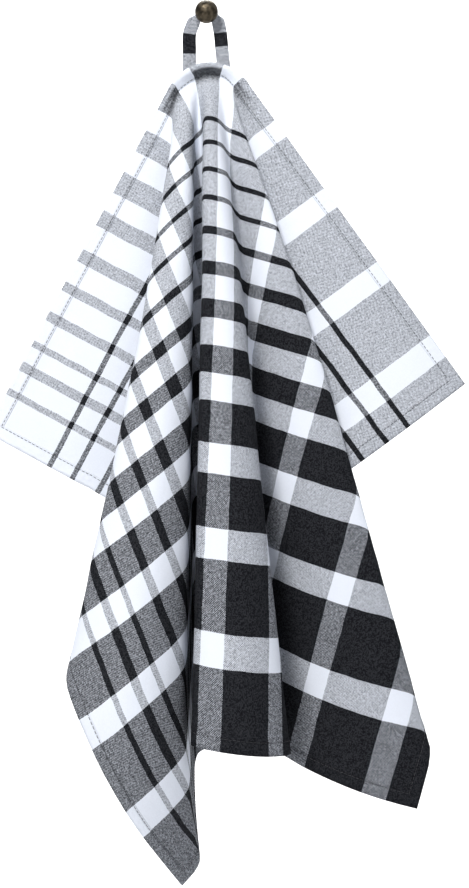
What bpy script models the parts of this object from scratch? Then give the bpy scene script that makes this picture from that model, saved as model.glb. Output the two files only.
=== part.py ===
"""Woven tea towel hanging by its sewn loop from a small wall peg.

Frame: the origin is the middle of the peg's flat wall face, +Z is up, +X is to the right
and the towel hangs in front of the wall towards -Y.  All sizes are in metres.

The towel is one rectangle of cloth.  It hangs from the middle of its top edge, so its folds
are nearly straight lines that fan out from there.  FOLDS lists them from the left edge to the
right one, ridges and valleys alike, each placed by the way it points.  Under the top edge the
middle folds first turn back towards the wall, which makes a hood over them.
"""

import math
from collections import namedtuple

import bpy
import numpy as np

COLLECTION_NAME = "tea_towel"

# Towel
TOWEL_WIDTH = 0.650
TOWEL_HEIGHT = 0.518
CLOTH_THICKNESS = 0.0015
HEM_WIDTH = 0.0106

# Top edge: straight on both wings, with a round arch between them that the loop holds up
ARCH_START = 0.297
ARCH_RADIUS = 0.0345
ARCH_START_X = -0.0280
ARCH_START_Z = -0.0561
HANG_DEPTH = 0.0140
LEFT_EDGE_BEARING = -28.0
RIGHT_EDGE_BEARING = 35.7

# Folds.  foot: distance along the top edge from its left corner.  angle: direction on the flat
# cloth, in degrees from straight down.  bearing: direction as seen from the front, in degrees
# from straight down, near the top and lower down.  lean: degrees out from the wall, just under
# the hem and lower down.  reach: hanging length for each length of cloth, under 1 where small
# wrinkles take cloth up and over 1 where it stretches on the bias.  columns: mesh columns from this fold to the next one.
Fold = namedtuple(
    "Fold", "name foot angle top_bearing low_bearing top_lean low_lean reach columns"
)
FOLDS = (
    Fold("left edge", 0.2970, -90.0, LEFT_EDGE_BEARING, LEFT_EDGE_BEARING, 0.0, 0.0, 1.0, 4),
    Fold("left wing", 0.3010, -73.0, -11.5, -11.5, 1.0, 1.0, 1.0, 4),
    Fold("behind left wing", 0.3034, -61.0, 0.2, 0.2, -0.4, -0.4, 1.0, 2),
    Fold("left fold, back", 0.3044, -59.0, 1.0, 1.0, 0.6, 0.6, 1.0, 5),
    Fold("left fold", 0.3070, -42.8, -6.8, -11.6, 25.0, 9.0, 1.015, 8),
    Fold("left fold, inner", 0.3210, -29.6, 0.8, -1.0, 34.0, 7.0, 1.030, 5),
    Fold("pocket, left", 0.3240, -17.5, -2.0, 0.4, 4.0, 0.0, 0.97, 2),
    Fold("pocket, right", 0.3265, -14.5, 3.0, 1.6, 4.0, 0.0, 0.97, 5),
    Fold("middle fold, left", 0.3300, 1.2, -0.4, -1.2, 50.0, 8.5, 1.0, 8),
    Fold("middle fold, right", 0.3365, 10.4, 7.2, 6.1, 44.0, 6.5, 1.0, 5),
    Fold("middle fold, back", 0.3391, 17.7, 8.7, 2.2, 20.0, -1.3, 0.965, 2),
    Fold("right of the middle", 0.3399, 19.3, 9.4, 3.0, 20.0, -1.3, 0.960, 6),
    Fold("right fold", 0.3445, 33.0, 21.3, 15.6, 24.0, 1.5, 0.962, 8),
    Fold("right fold, back", 0.3508, 51.5, 6.4, 5.0, 4.5, 1.3, 1.0, 4),
    Fold("behind right wing", 0.3522, 54.5, 6.4, 5.0, -2.0, -0.4, 1.0, 5),
    Fold("right wing", 0.3560, 68.0, 14.5, 14.5, 1.5, 1.5, 1.0, 4),
    Fold("right edge", 0.3660, 90.0, RIGHT_EDGE_BEARING, RIGHT_EDGE_BEARING, 0.0, 0.0, 1.0, 0),
)
BOWED = ("left wing", "left fold", "middle fold, left", "right of the middle", "right wing")
TURNED_FOLDS = ("left fold", "left fold, inner")
BEARING_SETTLES = 0.300
LEAN_SETTLES = 0.045
EDGE_ROLL = 0.0020
EDGE_TIPS_OUT = 35.0
HEM_TIPS_BACK = 58.0
HOOD_ENDS = 0.0148
HOOD_TURN = 0.0040
END_TURN = 9.0
END_TIPS_BACK = 35.0
END_TURN_STARTS = 0.450
END_TURN_LENGTH = 0.120
FOLD_ROUNDING = 0.006
DEEPEST_BOW = 0.30

# Mesh of the towel
ROUND_SAMPLES = 16
TOP_ROWS = (0.0, 0.001, 0.003, 0.007, 0.012, 0.015, 0.019, 0.026, 0.035, 0.047, 0.060)
LOWER_ROWS = 18
SECTION_STEP = 0.004
LONGEST_RULING = 0.780

# Peg
SHANK_RADIUS = 0.0035
SHANK_LENGTH = 0.0135
HEAD_RADIUS = 0.0088
HEAD_DEPTH = 0.0100
HEAD_RIM = 0.0015
PEG_STEPS = 32

# Hanging loop
TAPE_WIDTH = 0.0103
TAPE_THICKNESS = 0.0014
SEAT_GAP = 0.0003
BEND_ALLOWANCE = 0.00025
HEM_SEAT_ALLOWANCE = 0.0006
LOOP_DEPTH = 0.0066
LEFT_LEG_X = -0.0131
RIGHT_LEG_TOP_X = 0.0105
RIGHT_LEG_FOOT_X = 0.0128
LEG_STRAIGHT_BELOW = 0.0150
LEG_ENDS_BELOW_EDGE = 0.0075
LOOP_STEPS = 72
BEND_STEPS = 8
BEND_HALF_WIDTH = 0.0076
TWIST_STARTS = 0.0035
TWIST_ENDS = -0.0075


def clear_scene():
    for item in list(bpy.data.objects):
        bpy.data.objects.remove(item, do_unlink=True)


def make_collection(name):
    collection = bpy.data.collections.new(name)
    bpy.context.scene.collection.children.link(collection)
    return collection


def make_material(name, colour, roughness, metallic=0.0):
    material = bpy.data.materials.new(name)
    material.use_nodes = True
    shader = material.node_tree.nodes["Principled BSDF"]
    shader.inputs["Base Color"].default_value = (*colour, 1.0)
    shader.inputs["Roughness"].default_value = roughness
    shader.inputs["Metallic"].default_value = metallic
    material.diffuse_color = (*colour, 1.0)
    return material


def add_mesh_object(name, points, faces, collection, material):
    mesh = bpy.data.meshes.new(name)
    mesh.from_pydata([tuple(point) for point in points], [], faces)
    mesh.materials.append(material)
    mesh.shade_smooth()
    item = bpy.data.objects.new(name, mesh)
    collection.objects.link(item)
    return item


def grid_faces(rows, columns):
    faces = []
    for row in range(rows - 1):
        for column in range(columns - 1):
            corner = row * columns + column
            faces.append((corner, corner + columns, corner + columns + 1, corner + 1))
    return faces


def thicken(item, thickness):
    solidify = item.modifiers.new("Thickness", "SOLIDIFY")
    solidify.thickness = thickness
    solidify.offset = 0.0
    return solidify


def along(direction, distance):
    """Interpolate a row of 3-D points; distance is their place along the row."""
    return lambda where: np.stack(
        [np.interp(where, distance, direction[:, axis]) for axis in range(3)], axis=-1
    )


# ---- top edge ---------------------------------------------------------------------------


def top_edge(place):
    """Point of the towel's top edge at a distance from its left corner."""
    place = np.asarray(place, dtype=float)
    heading = math.radians(90.0 + LEFT_EDGE_BEARING)
    turn = math.radians(180.0 + LEFT_EDGE_BEARING - RIGHT_EDGE_BEARING)
    arch_end = ARCH_START + ARCH_RADIUS * turn
    bend = np.clip(place - ARCH_START, 0.0, ARCH_RADIUS * turn) / ARCH_RADIUS
    before = np.minimum(place - ARCH_START, 0.0)
    after = np.maximum(place - arch_end, 0.0)
    x = ARCH_START_X + ARCH_RADIUS * (math.sin(heading) - np.sin(heading - bend))
    z = ARCH_START_Z - ARCH_RADIUS * (math.cos(heading) - np.cos(heading - bend))
    x = x + before * math.cos(heading) + after * math.cos(heading - turn)
    z = z + before * math.sin(heading) + after * math.sin(heading - turn)
    return np.stack([x, np.full_like(x, -HANG_DEPTH), z], axis=-1)


# ---- folds ------------------------------------------------------------------------------


def cloth_line(fold, distances):
    """Flat place (across, down) of points on a fold line."""
    angle = math.radians(fold.angle)
    across = fold.foot + math.sin(angle) * distances
    down = math.cos(angle) * distances
    return np.stack([across, down], axis=-1)


def hanging_line(fold, distances):
    """Hanging place of points on a fold, found by following its direction from its foot."""
    fine = np.linspace(0.0, distances[-1], 600)
    settled = np.minimum(fine / BEARING_SETTLES, 1.0)
    bearing = fold.top_bearing + (fold.low_bearing - fold.top_bearing) * settled
    fade = np.exp(-np.maximum(fine - HEM_WIDTH, 0.0) / LEAN_SETTLES)
    lean = fold.low_lean + (fold.top_lean - fold.low_lean) * fade
    if fold.name in TURNED_FOLDS:
        turned = np.clip((fine - END_TURN_STARTS) / END_TURN_LENGTH, 0.0, 1.0)
        bearing = bearing + END_TURN * turned
        lean = lean - END_TIPS_BACK * turned
    facing = math.cos(math.radians(fold.angle)) ** 2
    rolled = np.clip(1.5 - fine / EDGE_ROLL, 0.0, 1.0)
    hem_lean = (EDGE_TIPS_OUT * rolled - HEM_TIPS_BACK * (1.0 - rolled)) * facing
    in_hem = np.clip((HOOD_ENDS - fine) / HOOD_TURN, 0.0, 1.0)
    lean = lean * (1.0 - in_hem) + hem_lean * in_hem
    bearing = np.radians(bearing)
    lean = np.radians(lean)
    direction = np.stack(
        [np.sin(bearing) * np.cos(lean), -np.sin(lean), -np.cos(bearing) * np.cos(lean)],
        axis=-1,
    )
    steps = 0.5 * (direction[1:] + direction[:-1]) * np.diff(fine)[:, None] * fold.reach
    route = np.vstack([np.zeros(3), np.cumsum(steps, axis=0)])
    return top_edge(fold.foot) + along(route, fine)(distances)


def bowed_panels(flat, hung):
    """Sections across all the folds; a front panel wider than its gap bows forward."""
    panels = []
    for index in range(len(FOLDS) - 1):
        last = index == len(FOLDS) - 2
        share = np.linspace(0.0, 1.0, ROUND_SAMPLES + 1)[: None if last else -1]
        span = hung[index + 1] - hung[index]
        panel = hung[index][:, None] + span[:, None] * share[None, :, None]
        if FOLDS[index].name in BOWED:
            gap = np.maximum(np.linalg.norm(span, axis=-1), 1e-9)
            width = np.linalg.norm(flat[index + 1] - flat[index], axis=-1)
            across = span / gap[:, None]
            forward = np.array([0.0, -1.0, 0.0])
            outward = forward - across * (across @ forward)[:, None]
            outward /= np.linalg.norm(outward, axis=-1, keepdims=True)
            bow = gap * np.sqrt(np.maximum(width / gap - 1.0, 0.0) * 3.0 / 8.0)
            bow = np.minimum(bow, DEEPEST_BOW * gap)
            bow = bow[:, None] * 4.0 * share * (1.0 - share)
            panel = panel + outward[:, None] * bow[..., None]
        panels.append(panel)
    return np.concatenate(panels, axis=1)


def rounded(section):
    """One section with its corners rounded, and both its ends kept."""
    steps = np.linalg.norm(np.diff(section, axis=0), axis=1)
    place = np.concatenate([[0.0], np.cumsum(steps)])
    count = 900
    even = np.linspace(0.0, place[-1], count)
    points = along(section, place)(even)
    spread = min(FOLD_ROUNDING / (place[-1] / (count - 1)), 0.24 * count)
    half = int(3.0 * spread) + 1
    weights = np.exp(-(np.arange(-half, half + 1) ** 2) / (2.0 * spread**2))
    weights /= weights.sum()
    before = 2.0 * points[0] - points[1 : half + 1][::-1]
    after = 2.0 * points[-1] - points[-half - 1 : -1][::-1]
    padded = np.vstack([before, points, after])
    smooth = np.stack([np.convolve(padded[:, axis], weights, "valid") for axis in range(3)], -1)
    return along(smooth, even)(place)


class Drape:
    """The hanging cloth: turns a flat place on the towel into its place in the room."""

    def __init__(self):
        near = np.arange(0.0, TOP_ROWS[-1], 0.4 * SECTION_STEP)
        far = np.arange(TOP_ROWS[-1], LONGEST_RULING, SECTION_STEP)
        self.distances = np.concatenate([near, far])
        flat = [cloth_line(fold, self.distances) for fold in FOLDS]
        hung = [hanging_line(fold, self.distances) for fold in FOLDS]
        sections = bowed_panels(flat, hung)
        self.sections = np.stack([rounded(section) for section in sections])

    @staticmethod
    def locate(across, down):
        """Fold number (with its fraction) and distance from the top edge of flat places."""
        best = np.full(across.shape, np.inf)
        number = np.zeros(across.shape)
        distance = np.zeros(across.shape)
        for index in range(len(FOLDS) - 1):
            first, second = FOLDS[index], FOLDS[index + 1]
            sin_1, cos_1 = math.sin(math.radians(first.angle)), math.cos(math.radians(first.angle))
            sin_2, cos_2 = math.sin(math.radians(second.angle)), math.cos(math.radians(second.angle))
            spread = second.foot - first.foot
            reach = np.hypot(across - 0.5 * (first.foot + second.foot), down)
            share = np.full(across.shape, 0.5)
            for _ in range(12):
                miss_x = first.foot + reach * sin_1 - across
                miss_x = miss_x + share * (spread + reach * (sin_2 - sin_1))
                miss_y = reach * cos_1 + share * reach * (cos_2 - cos_1) - down
                a = sin_1 + share * (sin_2 - sin_1)
                b = spread + reach * (sin_2 - sin_1)
                c = cos_1 + share * (cos_2 - cos_1)
                d = reach * (cos_2 - cos_1)
                whole = a * d - b * c
                whole = np.where(np.abs(whole) < 1e-12, 1e-12, whole)
                reach = reach - (miss_x * d - miss_y * b) / whole
                share = share - (a * miss_y - c * miss_x) / whole
            outside = np.maximum(-share, share - 1.0)
            outside = np.where((reach < -1e-9) | ~np.isfinite(outside), np.inf, outside)
            better = outside < best - 1e-9
            best = np.where(better, outside, best)
            number = np.where(better, index + np.clip(share, 0.0, 1.0), number)
            distance = np.where(better, reach, distance)
        return number, np.maximum(distance, 0.0)

    def place(self, number, distance):
        column = np.clip(number * ROUND_SAMPLES, 0.0, self.sections.shape[1] - 1.000001)
        row = np.interp(distance, self.distances, np.arange(len(self.distances)))
        row = np.minimum(row, len(self.distances) - 1.000001)
        column_low, row_low = column.astype(int), row.astype(int)
        column_part = (column - column_low)[..., None]
        row_part = (row - row_low)[..., None]
        upper = self.sections[row_low, column_low] * (1.0 - column_part)
        upper = upper + self.sections[row_low, column_low + 1] * column_part
        lower = self.sections[row_low + 1, column_low] * (1.0 - column_part)
        lower = lower + self.sections[row_low + 1, column_low + 1] * column_part
        return upper * (1.0 - row_part) + lower * row_part

    def hang(self, across, down):
        number, distance = self.locate(across, down)
        return self.place(number, distance)


# ---- towel ------------------------------------------------------------------------------


def ruling_feet(angles):
    return np.interp(angles, [fold.angle for fold in FOLDS], [fold.foot for fold in FOLDS])


def corner_angle(corner_x):
    """Direction of the ruling that ends in a bottom corner."""
    angle = 0.0
    for _ in range(30):
        angle = math.degrees(math.atan2(corner_x - ruling_feet(angle), TOWEL_HEIGHT))
    return angle


def column_angles():
    angles = []
    for first, second in zip(FOLDS[:-1], FOLDS[1:]):
        share = 0.5 - 0.5 * np.cos(np.linspace(0.0, math.pi, first.columns + 1)[:-1])
        angles.extend(first.angle + (second.angle - first.angle) * share)
    angles.append(FOLDS[-1].angle)
    angles = np.array(angles)
    for corner_x in (0.0, TOWEL_WIDTH):
        corner = corner_angle(corner_x)
        angles[np.argmin(np.abs(angles - corner))] = corner
    return angles


def ruling_lengths(feet, angles):
    """Distance from the top edge to the side or bottom edge along each ruling."""
    sines, cosines = np.sin(np.radians(angles)), np.cos(np.radians(angles))
    to_bottom = TOWEL_HEIGHT / np.maximum(cosines, 1e-6)
    to_side = np.where(sines < 0.0, feet, TOWEL_WIDTH - feet) / np.maximum(np.abs(sines), 1e-6)
    return np.minimum(to_bottom, to_side)


def towel_points(drape):
    angles = column_angles()
    feet = ruling_feet(angles)
    lengths = ruling_lengths(feet, angles)
    lower = np.linspace(0.0, 1.0, LOWER_ROWS + 1)[1:]
    rows = [np.full_like(lengths, distance) for distance in TOP_ROWS]
    rows.extend(TOP_ROWS[-1] + part * (lengths - TOP_ROWS[-1]) for part in lower)
    distance = np.stack(rows)
    across = feet + np.sin(np.radians(angles)) * distance
    down = np.cos(np.radians(angles)) * distance
    points = drape.hang(across, down)
    points[0] = drape.place(np.interp(angles, [fold.angle for fold in FOLDS],
                                      np.arange(len(FOLDS))), np.zeros_like(feet))
    return points


def build_towel(drape, collection):
    material = make_material("cotton_check", (0.42, 0.42, 0.43), 0.9)
    points = towel_points(drape)
    rows, columns = points.shape[:2]
    faces = grid_faces(rows, columns)
    towel = add_mesh_object("towel", points.reshape(-1, 3), faces, collection, material)
    thicken(towel, CLOTH_THICKNESS)
    return towel


# ---- hanging loop -----------------------------------------------------------------------


def behind_hem(drape, x, below_edge):
    """Middle of the tape where it lies behind the hem, clear of the cloth over its width."""
    feet = np.linspace(ARCH_START, ARCH_START + 2.0 * ARCH_RADIUS, 240)
    number = np.interp(feet, [fold.foot for fold in FOLDS], np.arange(len(FOLDS)))
    depths = np.linspace(0.0, 2.0 * HEM_WIDTH, 81)
    hem = drape.place(number[None, :] + 0.0 * depths[:, None], depths[:, None] + 0.0 * number)
    hem = hem.reshape(-1, 3)
    top = np.interp(x, hem[: len(feet), 0], hem[: len(feet), 2])
    z = top - below_edge
    near = np.abs(hem[:, 0] - x) < 0.5 * TAPE_WIDTH + SEAT_GAP
    near &= np.abs(hem[:, 2] - z) < TAPE_THICKNESS
    seat = 0.5 * (CLOTH_THICKNESS + TAPE_THICKNESS) + SEAT_GAP + HEM_SEAT_ALLOWANCE
    return np.array([x, hem[near, 1].max() + seat, z])


def leg_route(drape, top_x, foot_x):
    """Points of one leg, from the side of the shank down to its end behind the hem."""
    side = math.copysign(1.0, top_x)
    start_x = side * BEND_HALF_WIDTH
    edge = behind_hem(drape, foot_x, 0.0)
    middle = behind_hem(drape, foot_x, 0.5 * LEG_ENDS_BELOW_EDGE)
    end = behind_hem(drape, foot_x, LEG_ENDS_BELOW_EDGE)
    return np.array([
        (start_x, -LOOP_DEPTH, 0.0),
        (0.5 * (start_x + top_x), -LOOP_DEPTH, -0.45 * LEG_STRAIGHT_BELOW),
        (top_x, -LOOP_DEPTH, -LEG_STRAIGHT_BELOW),
        (0.5 * (top_x + foot_x), 0.5 * (edge[1] - LOOP_DEPTH), 0.5 * (edge[2] - LEG_STRAIGHT_BELOW)),
        tuple(edge),
        tuple(middle),
        tuple(end),
    ])


def smooth_route(points, count):
    """Evenly spaced points on a smooth curve through the given ones."""
    points = np.asarray(points)
    padded = np.vstack([2.0 * points[0] - points[1], points, 2.0 * points[-1] - points[-2]])
    route = []
    for index in range(1, len(padded) - 2):
        p0, p1, p2, p3 = padded[index - 1 : index + 3]
        for part in np.linspace(0.0, 1.0, 16, endpoint=False):
            route.append(0.5 * (2.0 * p1 + (p2 - p0) * part
                                + (2.0 * p0 - 5.0 * p1 + 4.0 * p2 - p3) * part**2
                                + (3.0 * p1 - p0 - 3.0 * p2 + p3) * part**3))
    route.append(points[-1])
    route = np.array(route)
    steps = np.linalg.norm(np.diff(route, axis=0), axis=1)
    place = np.concatenate([[0.0], np.cumsum(steps)])
    return along(route, place)(np.linspace(0.0, place[-1], count))


def loop_route(drape):
    bend = SHANK_RADIUS + SEAT_GAP + BEND_ALLOWANCE + 0.5 * TAPE_THICKNESS
    left = leg_route(drape, LEFT_LEG_X, LEFT_LEG_X)
    right = leg_route(drape, RIGHT_LEG_TOP_X, RIGHT_LEG_FOOT_X)
    over = []
    for step in range(1, BEND_STEPS):
        turn = math.pi * step / BEND_STEPS
        over.append((-BEND_HALF_WIDTH * math.cos(turn), -LOOP_DEPTH, bend * math.sin(turn)))
    return smooth_route(np.vstack([left[::-1], np.array(over), right]), LOOP_STEPS)


def build_loop(drape, collection):
    """A flat tape that lies across the shank and turns to face the front down its legs."""
    material = make_material("cotton_tape", (0.34, 0.34, 0.35), 0.9)
    route = loop_route(drape)
    points = []
    for centre in route:
        turned = (TWIST_STARTS - centre[2]) / (TWIST_STARTS - TWIST_ENDS)
        turned = min(max(turned, 0.0), 1.0)
        twist = 0.5 * math.pi * (3.0 * turned**2 - 2.0 * turned**3)
        side = math.copysign(1.0, centre[0])
        width = np.array([math.sin(twist) * side, math.cos(twist), 0.0])
        for place in (-0.5, 0.0, 0.5):
            points.append(centre + width * place * TAPE_WIDTH)
    faces = grid_faces(len(route), 3)
    loop = add_mesh_object("hanging_loop", points, faces, collection, material)
    thicken(loop, TAPE_THICKNESS)
    return loop


# ---- peg --------------------------------------------------------------------------------


def peg_profile():
    """Half outline of the peg, from the middle of its head to the middle of its wall face."""
    points = []
    for step in range(11):
        turn = 0.5 * math.pi * step / 10
        height = SHANK_LENGTH + HEAD_RIM + (HEAD_DEPTH - HEAD_RIM) * math.cos(turn)
        points.append((HEAD_RADIUS * math.sin(turn), height))
    points.append((HEAD_RADIUS - 0.5 * HEAD_RIM, SHANK_LENGTH))
    points.append((SHANK_RADIUS, SHANK_LENGTH))
    points.append((SHANK_RADIUS, 0.0))
    points.append((0.0, 0.0))
    return points


def build_peg(collection):
    material = make_material("peg_metal", (0.075, 0.068, 0.058), 0.42, 1.0)
    profile = peg_profile()
    points = [(radius, 0.0, height) for radius, height in profile]
    mesh = bpy.data.meshes.new("peg")
    mesh.from_pydata(points, [(i, i + 1) for i in range(len(points) - 1)], [])
    mesh.materials.append(material)
    peg = bpy.data.objects.new("peg", mesh)
    collection.objects.link(peg)
    peg.rotation_euler = (math.radians(90.0), 0.0, 0.0)
    screw = peg.modifiers.new("Turn", "SCREW")
    screw.steps = PEG_STEPS
    screw.render_steps = PEG_STEPS
    screw.use_merge_vertices = True
    screw.merge_threshold = 0.0001
    screw.use_smooth_shade = True
    return peg


def main():
    clear_scene()
    collection = make_collection(COLLECTION_NAME)
    drape = Drape()
    build_towel(drape, collection)
    build_loop(drape, collection)
    build_peg(collection)


main()
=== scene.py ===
"""Woven check tea towel that hangs by its sewn loop from a small dark metal peg."""

import math
from collections import namedtuple

import bpy
import numpy as np
from bpy.props import FloatProperty, FloatVectorProperty, IntProperty, PointerProperty
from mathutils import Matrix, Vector, noise


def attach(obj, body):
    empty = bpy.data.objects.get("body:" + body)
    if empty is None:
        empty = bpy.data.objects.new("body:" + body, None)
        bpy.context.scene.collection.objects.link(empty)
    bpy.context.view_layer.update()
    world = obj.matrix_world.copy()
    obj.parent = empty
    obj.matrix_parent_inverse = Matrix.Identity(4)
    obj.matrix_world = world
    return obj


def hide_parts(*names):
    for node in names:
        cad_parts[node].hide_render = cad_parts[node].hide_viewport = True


bl_info = {
    "name": "Hanging Tea Towel",
    "version": (1, 0, 0),
    "blender": (4, 5, 0),
    "location": "View3D > Sidebar > Tea Towel",
    "description": "Builds a woven check tea towel in folds, its hanging loop and its peg",
    "category": "Add Mesh",
}

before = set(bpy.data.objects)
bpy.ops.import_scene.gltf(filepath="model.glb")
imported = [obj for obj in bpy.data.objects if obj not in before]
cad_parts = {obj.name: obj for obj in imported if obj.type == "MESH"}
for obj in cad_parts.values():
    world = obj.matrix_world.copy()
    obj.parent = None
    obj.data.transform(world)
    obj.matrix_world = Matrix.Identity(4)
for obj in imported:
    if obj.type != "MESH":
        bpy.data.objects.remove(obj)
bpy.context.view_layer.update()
BODY = "root"

# How the cloth hangs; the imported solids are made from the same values
ARCH_START = 0.297
ARCH_RADIUS = 0.0345
ARCH_START_X = -0.0280
ARCH_START_Z = -0.0561
HANG_DEPTH = 0.0140
LEFT_EDGE_BEARING = -28.0
RIGHT_EDGE_BEARING = 35.7
TURNED_FOLDS = ("left fold", "left fold, inner")

# foot: distance along the top edge from its left corner.  angle: direction on the flat cloth,
# in degrees from straight down.  bearing: direction as seen from the front, near the top and
# lower down.  lean: degrees out from the wall, just under the hem and lower down.  reach:
# hanging length for each length of cloth.
Fold = namedtuple("Fold", "name foot angle top_bearing low_bearing top_lean low_lean reach")
FOLDS = (
    Fold("left edge", 0.2970, -90.0, LEFT_EDGE_BEARING, LEFT_EDGE_BEARING, 0.0, 0.0, 1.0),
    Fold("left wing", 0.3010, -73.0, -11.5, -11.5, 1.0, 1.0, 1.0),
    Fold("behind left wing", 0.3034, -61.0, 0.2, 0.2, -0.4, -0.4, 1.0),
    Fold("left fold, back", 0.3044, -59.0, 1.0, 1.0, 0.6, 0.6, 1.0),
    Fold("left fold", 0.3070, -42.8, -6.8, -11.6, 25.0, 9.0, 1.015),
    Fold("left fold, inner", 0.3210, -29.6, 0.8, -1.0, 34.0, 7.0, 1.030),
    Fold("pocket, left", 0.3240, -17.5, -2.0, 0.4, 4.0, 0.0, 0.97),
    Fold("pocket, right", 0.3265, -14.5, 3.0, 1.6, 4.0, 0.0, 0.97),
    Fold("middle fold, left", 0.3300, 1.2, -0.4, -1.2, 50.0, 8.5, 1.0),
    Fold("middle fold, right", 0.3365, 10.4, 7.2, 6.1, 44.0, 6.5, 1.0),
    Fold("middle fold, back", 0.3391, 17.7, 8.7, 2.2, 20.0, -1.3, 0.965),
    Fold("right of the middle", 0.3399, 19.3, 9.4, 3.0, 20.0, -1.3, 0.960),
    Fold("right fold", 0.3445, 33.0, 21.3, 15.6, 24.0, 1.5, 0.962),
    Fold("right fold, back", 0.3508, 51.5, 6.4, 5.0, 4.5, 1.3, 1.0),
    Fold("behind right wing", 0.3522, 54.5, 6.4, 5.0, -2.0, -0.4, 1.0),
    Fold("right wing", 0.3560, 68.0, 14.5, 14.5, 1.5, 1.5, 1.0),
    Fold("right edge", 0.3660, 90.0, RIGHT_EDGE_BEARING, RIGHT_EDGE_BEARING, 0.0, 0.0, 1.0),
)
BOWED = ("left wing", "left fold", "middle fold, left", "right of the middle", "right wing")
BEARING_SETTLES = 0.300
LEAN_SETTLES = 0.045
EDGE_ROLL = 0.0020
EDGE_TIPS_OUT = 35.0
HEM_TIPS_BACK = 58.0
HOOD_ENDS = 0.0148
HOOD_TURN = 0.0040
END_TURN = 9.0
END_TIPS_BACK = 35.0
END_TURN_STARTS = 0.450
END_TURN_LENGTH = 0.120
FOLD_ROUNDING = 0.006
DEEPEST_BOW = 0.30
HEM_LINE = 0.0106
HUNG_THICKNESS = 0.0015
WIDEST_ROUNDING = 0.24
ROUND_SAMPLES = 24
SECTION_SAMPLES = 900
LINE_SAMPLES = 600
SOLVER_STEPS = 12
SECTION_STEP = 0.004
LONGEST_RULING = 0.780

# The towel's mesh: rows, and columns that crowd together beside the folds
TOP_BAND = 0.060
TOP_BAND_ROWS = 30
LOWER_ROWS = 104
LEAST_COLUMNS = 4
COLUMNS_PER_DEGREE = 1.15
CROWDING = 0.6

# Places in the hanging loop, in metres
SEAT_GAP = 0.0003
BEND_ALLOWANCE = 0.00025
HEM_SEAT_ALLOWANCE = 0.0006
LOOP_DEPTH = 0.0066
LEFT_LEG_X = -0.0131
RIGHT_LEG_TOP_X = 0.0105
RIGHT_LEG_FOOT_X = 0.0128
LEG_STRAIGHT_BELOW = 0.0150
LEG_TURNS_AT = 0.45
LEG_ENDS_BELOW_EDGE = 0.0075
BEND_STEPS = 8
BEND_HALF_WIDTH = 0.0076
TWIST_STARTS = 0.0035
TWIST_ENDS = -0.0075

# Woven bands: the width of each dark band and of the white one before it, in millimetres
Band = namedtuple("Band", "white dark")
COLUMN_BANDS = [Band(*pair) for pair in (
    (30.7, 5.3), (16.3, 6.1), (14.4, 5.7), (16.5, 7.6),
    (17.6, 8.3), (17.0, 10.8), (19.5, 12.1), (16.7, 17.0),
    (17.1, 19.7), (16.7, 22.7), (17.4, 29.5), (18.2, 38.6),
    (17.4, 47.0), (18.9, 49.6), (17.8, 51.5), (18.9, 27.3),
)]
ROW_BANDS = [Band(*pair) for pair in (
    (53.0, 4.1), (17.2, 4.2), (17.4, 4.3), (17.8, 5.3),
    (18.5, 7.1), (19.4, 9.8), (19.1, 14.6), (20.1, 20.4),
    (20.2, 29.6), (21.8, 39.1), (22.3, 51.5), (22.8, 58.0),
)]
# The loop's dark bands: heights of their lower and upper ends from the peg's middle
LOOP_BAND_LEFT = (-0.0308, -0.0148)
LOOP_BAND_RIGHT = (-0.0246, -0.0136)

# Share of dark yarn where only the columns are dark, where only the rows are, and on the tape
COLUMN_SHARE = 0.485
ROW_SHARE = 0.805
TAPE_SHARE = 0.62
# What crossings, single threads and thick places in the yarn add to that share, and the shares
# at which this starts to show and is lost again
CROSSING_SPECKLE = 0.34
GRAIN_SPECKLE = 0.26
SLUB_SPECKLE = 0.42
SPECKLE_STARTS = (0.05, 0.35)
SPECKLE_ENDS = (0.86, 1.0)
YARN_FUZZ = 0.025
# How far the edges of the bands wander and fray
COLUMN_WANDER = 0.0016
ROW_WANDER = 0.0014
FRAY = 0.0007
# Painted shade under the middle of the hem: how dark, its fade to the sides, and where down it
# starts and ends
HOOD_SHADE = 0.85
HOOD_SIDES = (0.030, 0.070)
HOOD_SHADE_STARTS = (0.0026, 0.0046)
HOOD_SHADE_ENDS = (0.010, 0.021)
# Relief of the threads and of the cloth, with its parts as shares of the cloth's
THREAD_RELIEF = 0.00022
THREAD_GRAIN = 0.35
CLOTH_RELIEF = 0.0007
SEAM_GROOVE = 0.6
SEAM_HALF_WIDTH = 0.0012
CLOTH_PUCKER = 0.5
HEM_PUCKER = 1.2
CREASES = 0.9
COTTON_SHINE = 0.06

# Unevenness of the cloth: bumps in a metre, share of the height, and slice of the noise
CRUMPLES = ((26.0, 0.7, 1.7), (75.0, 0.3, 4.1))
HEM_STEP = 0.0024
FIRST_STITCH = 0.0005
STITCH_RISE = 0.0002
PEG_STEPS = 96
HEAD_STEPS = 24

# Floor, backdrop and light
STAGE_HALF_WIDTH = 4.5
FLOOR_FRONT = -3.2
FLOOR_BEND = 0.8
FLOOR_BEND_STEPS = 16
BACKDROP_TOP = 3.2
ROOM_COLOUR = (0.93, 0.95, 1.0, 1.0)
ROOM_STRENGTH = 0.38
TOWEL_MIDDLE = (0.02, -0.05, -0.30)
Light = namedtuple("Light", "name place target size power colour")
LIGHTS = (
    Light("key", (-0.55, -1.5, 1.15), TOWEL_MIDDLE, 0.6, 44.0, (1.0, 0.99, 0.97)),
    Light("fill", (0.9, -1.7, 0.1), TOWEL_MIDDLE, 1.0, 4.5, (0.95, 0.97, 1.0)),
    Light("backdrop", (0.0, 1.6, 2.2), (0.0, 3.6, -0.9), 2.4, 190.0, (1.0, 1.0, 1.0)),
)


# ---- sizes and colours that a user may change ----


def metres(name, description, default):
    return FloatProperty(name=name, description=description, default=default, unit="LENGTH")


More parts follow.
